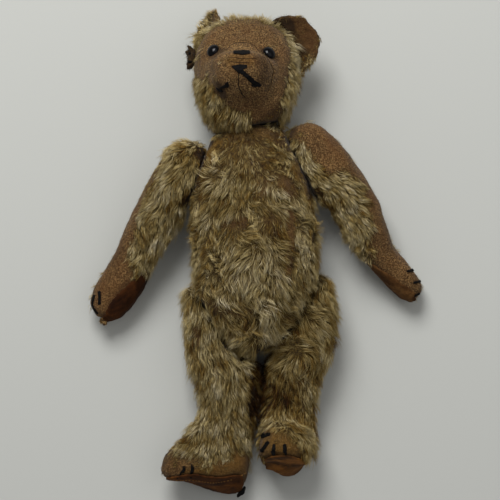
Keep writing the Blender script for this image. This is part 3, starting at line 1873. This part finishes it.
HEAD = SoftPart(
    "head",
    Wear((
        Patch((-9, 154, 66), (-9, 124, 88), 27, 23, pile=0.02),
        Patch((-30, 139, 82), (-28, 129, 87), 8, 7, pile=0.0),
        Patch((9, 127, 84), (8, 120, 84), 7, 7, pile=0.0),
        Patch((11, 151, 66), (16, 148, 64), 6, 6, pile=0.0),
        Patch((-9, 117, 89), (3, 115, 85), 7.5, 7.5, pile=0.0),
        Patch((-30, 155, 57), (14, 157, 58), 13, 12, pile=0.05),
        Patch((-12, 112, 80), (3, 107, 78), 13, 12, pile=0.09, soot=0.2),
        Patch((18, 146, 62), (16, 118, 68), 8.5, 6.5, pile=0.04, tall=0.5, rust=0.25),
        Patch((8, 116, 76), (12, 104, 68), 10, 9, pile=0.06, tall=0.5),
        Patch((12, 142, 78), (14, 112, 77), 11, 11, pile=0.0, tall=0.4),
        Patch((-31, 142, 72), (-29, 128, 78), 9, 8, pile=0.02, tall=0.4),
        Patch((-46, 150, 36), (-47, 134, 40), 11, 9, pile=0.08, tall=0.4),
        Patch((-36, 144, 66), (-38, 131, 64), 10, 8, pile=0.06, tall=0.5),
        Patch((2, 99, 68), (14, 102, 62), 7, 6, pile=0.08, rust=0.5),
        Patch((-41, 152, 48), (-43, 134, 53), 10, 8, pile=0.06, tall=0.5),
        Patch((-30, 145, 74), (-27, 147, 72), 7, 6, soot=0.8),
        Patch((10, 143, 76), (14, 141, 74), 7, 6, soot=0.75),
        Patch((-28, 136, 80), (-25, 114, 81), 4.5, 5.5, stain=0.55, soot=0.5, pile=0.07, tall=0.4),
        Patch((-8, 162, 56), (-4, 156, 60), 18, 16, soot=0.25),
        Patch((4, 136, 92), (5, 124, 88), 6, 6, soot=0.6),
        Patch((-14, 137, 96), (-6, 136, 96), 7, 6, stain=0.3, rust=0.35),
        Patch((-24, 120, 84), (-26, 110, 80), 5, 5, soot=0.4),
        Patch((-22, 172, 46), (14, 172, 46), 9, 9, pile=0.24, tall=1.0, pale=0.35),
        Patch((-44, 170, 32), (-42, 160, 34), 9, 8, pile=0.3, tall=0.5, rust=0.3, soot=0.2),
        Patch((-46, 145, 32), (-47, 128, 34), 11, 9, pile=0.05, tall=0.4),
        Patch((-41, 160, 38), (-44, 154, 34), 7.5, 7.5, pile=1.0, tall=3.1, pale=0.15, stain=0.25),
        Patch((22, 164, 46), (31, 138, 52), 6, 7, pile=0.85, tall=1.0, pale=0.5),
        Patch((30, 136, 54), (27, 108, 54), 8, 8, pile=0.95, tall=1.05, pale=0.35),
        Patch((12, 98, 60), (20, 104, 58), 7, 6, pile=0.4, tall=0.6, rust=0.6),
    )),
    Comb((0.0, -0.9, -0.15), away_from=(-9.0, 138.0, 70.0), spread=0.85,
         guides=(Guide((-8, 176, 44), (0.1, 2.2, 0.2), 16.0),
                 Guide((-45, 156, 35), (-2.0, -0.6, 0.2), 8.0)), unruly=0.4),
    Coat(5500, 14000, 9500, length=8.8, lift=0.5, front=1.2, tone=0.62),
    seams=(Seam(((4, 147, 75), (8.9, 136.5, 86), (13.3, 129.3, 79), (11.8, 121.4, 80),
                 (9, 114, 79)), 0.7, 1.1),
           Seam(((-22, 147, 74), (-17, 151, 68), (-4, 151, 69), (4, 147, 75)), 0.5, 1.1),
           Seam(((-11.7, 124, 96), (-8.9, 113, 86), (-6, 100, 70)), 0.7, 1.0)),
    attached=("ear_left", "ear_right", "eye_left", "eye_right", "nose_bar_stitches", "nose_foot_stitches",
              "mouth_corner_stitch", "ear_mending_thread"),
    voxel=3.0, lumps=0.35, seed=1)

BODY = SoftPart(
    "body",
    Wear((
        Patch((5, 73, 66), (6, 46, 74), 6, 7, pile=0.66, tall=0.7, rust=0.5),
        Patch((20, 52, 70), (25, 44, 68), 6.5, 6.5, pile=0.4, tall=0.6, rust=0.7),
        Patch((25, 29, 72), (24, -14, 74), 4.5, 3, pile=0.35, tall=0.7, rust=0.9),
        Patch((-21, 21, 75), (-10, 21, 78), 5, 5, pile=0.55, tall=0.7, rust=0.8),
        Patch((-34, -35, 60), (-9, -43, 69), 6, 8, pile=0.6, rust=0.6),
        Patch((-15, 87, 55), (12, 88, 58), 8, 8, pile=0.4, tall=0.5, rust=0.3, stain=0.25, soot=0.12),
        Patch((-12, 74, 64), (10, 64, 69), 18, 16, pile=0.86, tall=0.8, rust=0.35, soot=0.08),
        Patch((-29, 77, 54), (-36, 42, 58), 7, 6, pile=0.55, tall=0.6, stain=0.9, soot=0.12),
        Patch((-40, 30, 52), (-42, 12, 48), 5, 5, stain=0.5),
        Patch((32, 60, 56), (42, 22, 42), 9, 7, pile=0.5, tall=0.7, stain=0.8),
        Patch((20, 84, 54), (30, 74, 52), 8, 8, soot=0.5, pile=0.6),
        Patch((-34, 81, 46), (-38, 64, 50), 6.0, 7.0, soot=1.0, pile=0.35, tall=0.55),
        Patch((-36, 64, 52), (-47, 40, 44), 7.0, 8.0, soot=1.0, pile=0.4, tall=0.55),
        Patch((23, 92, 46), (42, 44, 48), 6.0, 5.5, soot=0.95, pile=0.35, tall=0.55),
        Patch((7, -66, 46), (6, -78, 34), 7.0, 8.0, soot=1.0, pile=0.25, tall=0.45),
        Patch((17, -14, 77), (19, -18, 76), 4.5, 4.5, pale=0.9, tall=1.4),
        Patch((-5, -4, 78), (-2, -26, 76), 7, 7, pale=0.5, tall=1.3),
        Patch((-28, -34, 66), (-10, -40, 70), 7, 7, pale=0.35, tall=1.3),
        Patch((10, -42, 70), (14, -60, 58), 8, 8, pale=0.35, tall=1.35),
        Patch((-20, -56, 56), (-6, -64, 52), 9, 9, tall=1.35),
        Patch((6, 48, 75), (18, 43, 73), 4, 4, pale=0.9, tall=1.25),
        Patch((-20, -58, 53), (-20, -50, 58), 7, 7, stain=0.5, pale=0.3),
        Patch((8, 18, 78), (12, 26, 78), 7, 7, soot=0.3, pile=0.7),
        Patch((12, -10, 76), (18, -34, 72), 6, 6, pale=0.4),
    )),
    Comb((0.0, -1.0, -0.05),
         guides=(Guide((-6, 46, 74), (-0.9, -0.6, 0), 14.0), Guide((14, 26, 77), (1.3, -0.2, 0), 12.0),
                 Guide((-20, 5, 74), (-0.7, 0.2, 0), 16.0), Guide((26, -30, 68), (0.9, -0.5, 0), 16.0),
                 Guide((-14, -44, 66), (1.6, 0.2, 0), 12.0), Guide((-40, 8, 50), (-0.8, 0.2, 0), 12.0)),
         unruly=0.75),
    Coat(7200, 19500, 8700, length=8.8, width=0.29, front=2.6, tone=0.58),
    seams=(Seam(((-3, 88, 60), (3, 60, 70), (14, 30, 77), (20, 0, 77), (14, -40, 68),
                 (4, -66, 50)), 0.5, 1.2),
           Seam(((-2, 88, 8), (-2, 0, 0.2), (-2, -70, 8)), 0.6, 1.4)),
    attached=(), voxel=3.8, lumps=0.6, seed=2)

ARM_RIGHT = SoftPart(
    "arm_right",
    Wear((
        Patch((-72, 66, 38), (-88, 40, 36), 11, 11, pile=0.38, tall=0.45, rust=0.5),
        Patch((-92, 34, 32), (-112, -22, 28), 12, 15, pile=0.04, tall=0.5, rust=0.25),
        Patch((-101, -8, 31), (-108, -42, 22), 12, 21, pile=0.0, rust=0.35),
        Patch((-62, 80, 20), (-112, 10, 16), 12, 14, pile=0.3, tall=0.4),
        Patch((-48, 78, 50), (-52, 66, 54), 6, 6, soot=0.25),
        Patch((-36, 84, 48), (-51, 40, 44), 5.5, 5.5, soot=1.0, pile=0.6, tall=0.6),
        Patch((-94, -26, 28), (-104, -46, 24), 7, 7, soot=0.5, rust=0.5),
        Patch((-92, -36, 24), (-110, -50, 20), 10, 12, soot=0.2, rust=0.4),
    )),
    Comb((-0.42, -0.86, -0.05), guides=(Guide((-62, 20, 46), (0.35, -0.3, 0), 22.0),), unruly=0.36),
    Coat(3800, 9000, 5000, length=8.4, front=1.8, tone=0.60),
    seams=(Seam(((-56, 80, 34), (-84, 46, 32), (-106, 6, 26), (-117, -36, 20)), 0.5, 1.2),
           Seam(((-44, 40, 26), (-66, 0, 24), (-84, -30, 20)), 0.5, 1.2)),
    attached=(*claws("arm_right", 2), "pad_arm_right"), seed=3)

ARM_LEFT = SoftPart(
    "arm_left",
    Wear((
        Patch((37, 94, 46), (56, 70, 52), 13, 13, pile=0.06, tall=0.5, rust=0.35),
        Patch((50, 88, 40), (68, 66, 42), 14, 14, pile=0.05, tall=0.5, rust=0.35),
        Patch((80, 58, 36), (97, 20, 34), 14, 13, pile=0.06, tall=0.5, rust=0.3),
        Patch((94, 12, 36), (112, -16, 26), 13, 15, pile=0.03, rust=0.2),
        Patch((66, 84, 20), (114, 8, 16), 12, 14, pile=0.15, tall=0.4),
        Patch((96, -14, 30), (116, -32, 24), 17, 17, pile=0.0, rust=0.2),
        Patch((50, 50, 50), (62, 50, 50), 9, 9, pale=0.3),
        Patch((40, 60, 40), (58, 30, 36), 5, 6, soot=0.35),
        Patch((26, 92, 46), (46, 44, 46), 4.0, 4.0, soot=0.7, pile=0.4, tall=0.5),
    )),
    Comb((0.5, -0.8, -0.05), guides=(Guide((52, 52, 50), (1.2, 0.2, 0), 14.0),), unruly=0.45),
    Coat(3300, 8000, 5500, length=7.8, front=1.8, tone=0.60),
    seams=(Seam(((44, 94, 34), (72, 66, 34), (96, 24, 28), (122, -22, 20)), 0.5, 1.2),
           Seam(((48, 40, 26), (72, 0, 24), (96, -36, 18)), 0.5, 1.2)),
    attached=(*claws("arm_left", 3), "pad_arm_left"), seed=4)

LEG_RIGHT = SoftPart(
    "leg_right",
    Wear((
        Patch((-43, -53, 45), (-43, -64, 43), 4, 5, pile=0.45, rust=0.5),
        Patch((-68, -154, 30), (-56, -164, 34), 10, 9, pile=0.12, tall=0.3, rust=0.5, soot=0.25),
        Patch((-50, -163, 36), (-8, -160, 31), 5.5, 13, pile=0.04, tall=0.4, rust=0.9, stain=0.5),
        Patch((-40, -170, 22), (-10, -166, 24), 5, 8, soot=0.5, pile=0.0),
        Patch((-64, -168, 14), (-6, -174, 10), 13, 13, pile=0.1, tall=0.25),
        Patch((-52, -152, 38), (-42, -158, 38), 9, 8, tall=0.35, pile=0.75),
        Patch((-52, -158, 39), (-46, -163, 38), 6.5, 6.5, tall=0.3, pile=0.15, rust=0.3),
        Patch((-44, -152, 38), (-12, -148, 36), 8, 9, tall=0.55),
        Patch((-58, -132, 30), (-68, -148, 28), 10, 9, tall=0.45, pile=0.6, rust=0.3),
        Patch((-20, -90, 36), (-12, -120, 34), 6, 6, soot=0.15),
        Patch((-3, -66, 32), (-3, -120, 28), 6, 6, soot=0.9, pile=0.6, tall=0.6),
        Patch((-6, -66, 14), (-5, -122, 14), 15, 13, pile=1.0, tall=1.15, soot=1.0),
        Patch((-50, -120, 30), (-56, -140, 32), 5, 6, soot=0.2, rust=0.3, pile=0.8),
    )),
    Comb((0.0, -1.0, -0.05), guides=(Guide((-52, -146, 36), (-1.0, 0.1, 0), 14.0),
                                     Guide((-26, -78, 38), (0.5, -0.2, 0), 16.0),
                                     Guide((-6, -76, 12), (1.6, 0.1, 0), 16.0),
                                     Guide((-5, -108, 12), (1.6, 0.1, 0), 16.0)), unruly=0.24),
    Coat(4700, 12000, 4200, length=9.6, width=0.29, front=1.8, tone=0.62),
    seams=(Seam(((-58, -30, 26), (-56, -80, 24), (-48, -120, 22)), 0.5, 1.2),
           Seam(((-14, -76, 14), (-9, -110, 22), (-6, -140, 24)), 0.5, 1.2)),
    attached=(*claws("leg_right", 2), "pad_leg_right"), seed=5)

LEG_LEFT = SoftPart(
    "leg_left",
    Wear((
        Patch((8, -136, 46), (24, -150, 56), 11, 13, pile=0.1, tall=0.35, rust=0.6, stain=0.6),
        Patch((12, -160, 38), (40, -158, 34), 11, 8, pile=0.0, rust=0.7, stain=0.45),
        Patch((4, -146, 34), (8, -160, 28), 9, 9, pile=0.1, tall=0.4, rust=0.4),
        Patch((46, -150, 34), (44, -162, 26), 8, 8, pile=0.3, tall=0.5, rust=0.4),
        Patch((2, -164, 14), (48, -162, 12), 13, 13, pile=0.1, tall=0.25),
        Patch((34, -90, 40), (32, -112, 36), 5, 5, pile=0.7, rust=0.35),
        Patch((38, -40, 46), (40, -56, 46), 6, 6, soot=0.15),
        Patch((6, -66, 14), (2, -122, 14), 15, 13, pile=1.0, tall=1.15, soot=1.0),
        Patch((7, -66, 34), (6, -116, 30), 6.5, 5.5, soot=1.0, pile=0.7, tall=0.6),
    )),
    Comb((0.0, -1.0, -0.05), guides=(Guide((18, -72, 44), (-1.2, 0.3, 0), 13.0),
                                     Guide((44, -44, 42), (1.0, 0.4, 0), 12.0),
                                     Guide((32, -66, 46), (0.9, 0.9, 0), 9.0),
                                     Guide((6, -76, 12), (-1.6, 0.1, 0), 16.0),
                                     Guide((3, -108, 12), (-1.6, 0.1, 0), 16.0)), unruly=0.34),
    Coat(4700, 12000, 4200, length=9.6, width=0.29, front=1.8, tone=0.49),
    seams=(Seam(((52, -28, 26), (54, -80, 24), (46, -120, 22)), 0.5, 1.2),
           Seam(((8, -80, 16), (6, -110, 20), (8, -136, 26)), 0.5, 1.2)),
    attached=(*claws("leg_left", 4), "pad_leg_left"), seed=6)

EARS = (
    Ear("ear_left", Wear((
        Patch((14, 172, 42), (24, 166, 42), 6, 5, soot=0.85, pile=0.35),
        Patch((24, 164, 42), (33, 145, 40), 5, 7, soot=0.7, stain=0.3),
        Patch((32, 168, 42), (44, 152, 40), 8, 8, rust=0.6),
        Patch((34, 158, 40), (36, 146, 40), 14, 13, pile=0.04, rust=0.5),
        Patch((28, 166, 42), (30, 164, 42), 8, 8, pile=0.1),
        Patch((24, 156, 42), (30, 142, 42), 4, 4, pile=0.8, pale=0.4),
        Patch((36, 139, 42), (44, 141, 38), 6, 5, pile=0.55, pale=0.1, tall=0.9),
    ), back_pile=0.6), Comb((0.3, -0.9, 0.0), unruly=0.4),
        Coat(500, 900, 1600, length=4.8, front=1.0), seed=7),
    Ear("ear_right", Wear((
        Patch((-30, 168, 36), (-36, 160, 34), 9, 9, pile=0.12, rust=0.4),
    ), back_pile=0.6), Comb((-0.4, 0.3, 0.2), unruly=0.4),
        Coat(400, 700, 1300, length=4.4, front=1.0), seed=8),
)

EAR_SCRAP = TornScrap(
    "ear_torn_edge", "head", "ear_mohair", (-45.9, 143.0, 35.0), (3.3, 8.2, 5.0),
    Wear((Patch((-48, 150, 35), (-48, 134, 35), 9, 9, soot=0.85, pile=0.4),)),
    Comb((-0.6, -0.6, 0.2), unruly=0.7),
    Coat(60, 160, 260, length=3.4, front=1.0, tone=0.34))
PAW_TAB = TornScrap(
    "paw_torn_tab", "arm_right", "mohair", (-112.6, -51.0, 18.0), (2.4, 2.9, 1.5),
    Wear((Patch((-112, -48, 18), (-113, -54, 18), 5, 5, pale=0.3, pile=0.3),)),
    Comb((-0.3, -0.9, 0.0), unruly=0.5),
    Coat(10, 30, 60, length=1.4, front=1.0, tone=0.5))

STITCHES = (
    StitchWork("claw_arm_right_1", "arm_right", swell=0.45, shift=(-0.6, 0.4, -0.4),
               bow=(-3.4, -1.4, -1.4)),
    StitchWork("claw_arm_right_2", "arm_right", swell=0.3, bow=(0.6, 0.3, 0)),
    *(StitchWork(claw, "arm_left") for claw in claws("arm_left", 3)),
    *(StitchWork(claw, "leg_right") for claw in claws("leg_right", 2)),
    *(StitchWork(claw, "leg_left", swell=0.5) for claw in claws("leg_left", 4)),
    StitchWork("nose_bar_stitches", "head", swell=-0.2, taper=0.88, rest=0.5),
    StitchWork("nose_foot_stitches", "head", swell=-0.38, rest=0.55),
    StitchWork("mouth_corner_stitch", "head", swell=0.0),
    StitchWork("ear_mending_thread", "head", ridge=0.05, swell=0.3, shift=(-1.6, 2.4, 1.2), rest=None),
)
# What each body's tugs move: its covers, and all that is sewn to them.
TUGS = {
    "arm_right": (Tug((-112, -36, 22), (-3.2, -0.6, 0), 20),),
    "ear_right": (Tug((-41, 165, 33), (-4.2, 2.2, 0), 9), Tug((-29, 176, 38), (0.5, -2.0, 0), 6)),
    "arm_left": (Tug((112, -26, 22), (5.0, -0.5, 0), 22),),
    "leg_right": (Tug((-3, -104, 12), (3.0, 0, 0), 17), Tug((-66, -160, 28), (-4.0, -4.0, 0), 15),
                  Tug((-25, -174, 15), (0.5, -4.2, 0), 24), Tug((-60, -134, 30), (3.5, -1.5, 0), 12),
                  Tug((-57, -163, 35), (0, -4.0, -1), 13),
                  Tug((-36, -168, 35), (0, -2.5, 0), 12), Tug((-8, -167, 32), (0, 6.0, 0), 13)),
    "leg_left": (Tug((7, -104, 12), (-3.5, 0, 0), 17), Tug((10, -160, 36), (3.5, 3.0, 0), 10),
                 Tug((48, -160, 28), (-1.0, 2.5, 0), 10), Tug((20, -164, 22), (0.0, -3.8, 0), 13),
                 Tug((8, -166, 14), (4.5, 4.5, 0), 10),
                 Tug((46, -164, 18), (-3.5, 5.5, 0), 12), Tug((37, -168, 24), (0.0, 2.5, 0), 9)),
    "head": (Tug((-30, 144, 72), (0.3, -1.6, 0), 9), Tug((11, 145, 72), (-1.7, -2.6, 0), 10),
             Tug((-44, 110, 45), (3.2, 0, 0), 17), Tug((34, 108, 45), (-3.2, 0, 0), 17)),
}
PADS = (
    Pad("pad_arm_right", "arm_right", PAD_FELT),
    Pad("pad_arm_left", "arm_left", RUBBED_FELT),
    Pad("pad_leg_right", "leg_right", SOLE_FELT),
    Pad("pad_leg_left", "leg_left", TOE_FELT),
)
PARTS = (HEAD, BODY, ARM_RIGHT, ARM_LEFT, LEG_RIGHT, LEG_LEFT)


# ---------------------------------------------------------------- stage

@dataclass(frozen=True)
class Stage:
    """The floor, the lamps and the camera.

    Attributes:
        floor_colour: The floor's colour.
        floor_size: Its side in metres.
        camera_at: Where the camera is.
        lens: Its focal length for a film of the usual width.
        world_light: How bright the even light from all round is.
    """
    floor_colour: tuple = linear(190, 191, 186)
    floor_size: float = 8.0
    camera_at: Point = (-3.89, 1.44, 1600.0)
    lens: float = 153.3
    world_light: float = 0.28

    def floor(self) -> None:
        """A wide plain floor."""
        pick_nothing()
        bpy.ops.mesh.primitive_plane_add(size=self.floor_size, location=(0, 0, 0))
        floor = bpy.context.object
        floor.name = "floor"
        material, graph, shader = new_material("Floor")
        graph.fill(shader, Base_Color=self.floor_colour, Roughness=0.9, Specular_IOR_Level=0.1)
        floor.data.materials.append(material)
        floor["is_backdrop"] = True

    def lamp(self, name: str, at: Point, size: float, watts: float) -> None:
        """A square soft light aimed at the bear.

        Args:
            name: Its name.
            at: Where it is.
            size: Its side in metres.
            watts: Its power.
        """
        data = bpy.data.lights.new(name, "AREA")
        data.shape, data.size, data.energy = "SQUARE", size, watts
        lamp = bpy.data.objects.new(name, data)
        bpy.context.scene.collection.objects.link(lamp)
        lamp.location = Vector(at) * MM
        lamp.rotation_mode = "QUATERNION"
        lamp.rotation_quaternion = (-lamp.location).to_track_quat("-Z", "Y")

    def build(self) -> None:
        """Makes everything."""
        self.floor()
        self.lamp("key", (-300, 1050, 1300), size=0.75, watts=26.0)
        self.lamp("fill", (650, 300, 1400), size=1.2, watts=2.8)
        world = bpy.data.worlds.new("Studio")
        world.use_nodes = True
        sky = world.node_tree.nodes["Background"]
        Graph(world.node_tree).fill(sky, Color=(1.0, 1.0, 1.0, 1.0), Strength=self.world_light)
        scene = bpy.context.scene
        scene.world = world
        scene.view_settings.view_transform = "Standard"
        data = bpy.data.cameras.new("camera")
        data.lens, data.sensor_width = self.lens, 36.0
        data.clip_start, data.clip_end = 0.05, 20.0
        camera = bpy.data.objects.new("camera", data)
        scene.collection.objects.link(camera)
        camera.location = Vector(self.camera_at) * MM
        scene.camera = camera


SEAM_THREADS = (
    LaidThread("face_seam_threads", "head", (
        ((-21.1, 144.7, 74.4), (-18.3, 148, 70.8), (-14.7, 149.9, 69.3), (-10.4, 151, 68.6),
         (-5.3, 150.6, 69.3), (-0.3, 149.1, 70.5), (4, 145.1, 74.9)),
        ((-19.5, 137.6, 92.5), (-14, 137.2, 95), (-8, 136.6, 96), (1.1, 137, 94)),
        ((-18.7, 134.5, 94.5), (-11, 133.9, 96.2), (-4, 133.6, 96)),
        ((5.4, 146.3, 72.6), (7.5, 141.6, 77.8), (9.6, 136.6, 85.1), (12.5, 132.7, 81.5),
         (13.3, 128.6, 79), (12.2, 122.8, 79.9), (9.7, 117.1, 79.6)),
    ), radius=0.24),
    LaidThread("chest_seam_threads", "body", (
        ((-3.9, 80, 66), (-3.9, 72, 69), (-2.5, 62.5, 70.5), (0.4, 53.1, 72.9)),
        ((1.1, 30.1, 77), (4.7, 14.3, 78.5), (3, 6, 78)),
    ), radius=0.3),
)
BLACK_THREADS = (
    LaidThread("muzzle_seam_line", "head", (
        ((-11.9, 127, 95), (-12, 122, 94), (-11.7, 117, 91), (-9.6, 112.5, 86), (-7.2, 109.8, 82)),
    ), radius=0.34),
    LaidThread("mouth_end_stitches", "head", (
        ((-3.2, 120.6, 88), (-0.8, 120.2, 86), (2.2, 121.2, 84)), ((-2.8, 121.4, 88), (1.4, 121.8, 85)),
        ((-27.5, 117.4, 80), (-25.5, 116, 80), (-23, 116.2, 82)),
        ((-25.8, 115.2, 80), (-22.6, 115.3, 82)),
    ), radius=0.75, stray=0.05),
    LaidThread("toe_stitches_leg_right", "leg_right", (
        ((-50.4, -153.5, 38), (-53.5, -157.5, 38), (-55.8, -160.5, 37)),
        ((-46.0, -153.5, 40), (-46.6, -158, 39), (-46.8, -162.5, 37))), radius=0.6, stray=0.1),
    LaidThread("sole_loose_thread", "leg_right", (
        ((-8.4, -173.0, 20), (-8.8, -175.6, 17), (-10.8, -178, 15), (-14.0, -179.0, 14)),
        ((-9.2, -175.6, 17), (-13.4, -178.2, 14.4)), ((-8.8, -174.6, 18), (-12.2, -177.4, 15))),
        radius=0.95, stray=0.3, free=True),
)
SOLE_STITCHES = LaidThread("sole_seam_stitches", "leg_right", (
    ((-60, -163, 33), (-53.9, -164.5, 34), (-40.3, -167, 34), (-26, -168, 33), (-12.7, -168, 31),
     (-6.8, -167, 28)),
), radius=0.36, stitch=1.1, gap=1.0)


def report_pieces() -> None:
    """Logs how many triangles each piece and the whole bear have."""
    total = 0
    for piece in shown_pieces():
        if piece.type == "MESH":
            piece.data.calc_loop_triangles()
            total += len(piece.data.loop_triangles)
            LOG.info("%s: %d triangles", piece.name, len(piece.data.loop_triangles))
    LOG.info("the whole bear: %d triangles", total)


def main() -> None:
    """Builds the stage and every piece."""
    logging.basicConfig(level=logging.INFO, format="%(name)s %(message)s")
    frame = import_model()
    pick_nothing()
    Stage().build()
    backing, ear_backing = MOHAIR_BACKING.material(), EAR_BACKING.material()
    pile = MOHAIR_PILE.material()
    felts = {pad.finish: pad.finish.material() for pad in PADS}
    thread, button = BLACK_THREAD.material(), BOOT_BUTTON.material()
    for part in PARTS:
        part.build(frame, backing, pile)
    for ear in EARS:
        ear.build(frame, ear_backing, pile)
    EAR_SCRAP.build(ear_backing, pile)
    PAW_TAB.build(backing, pile)
    wood_wool = WOOD_WOOL.material()
    for part in PARTS:
        Filling(part.name).build(frame, wood_wool)
    pads = {pad.body: [pad.build(frame, felts[pad.finish])] for pad in PADS}
    skins = {part.name: tree_of(part.skin, *pads.get(part.name, [])) for part in PARTS}
    for stitch in STITCHES:
        stitch.build(frame, skins[stitch.body], thread)
    for eye in ("eye_left", "eye_right"):
        ButtonEye(eye).build(frame, button)
    seam_thread, sole_thread = SEAM_THREAD.material(), SOLE_THREAD.material()
    for number, thread_run in enumerate(SEAM_THREADS):
        thread_run.build(skins[thread_run.body], seam_thread, number)
    for number, thread_run in enumerate(BLACK_THREADS):
        thread_run.build(skins[thread_run.body], thread, 20 + number)
    SOLE_STITCHES.build(skins["leg_right"], sole_thread, 9)
    finish_insides(frame)
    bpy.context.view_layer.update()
    report_pieces()


if __name__ == "__main__":
    main()
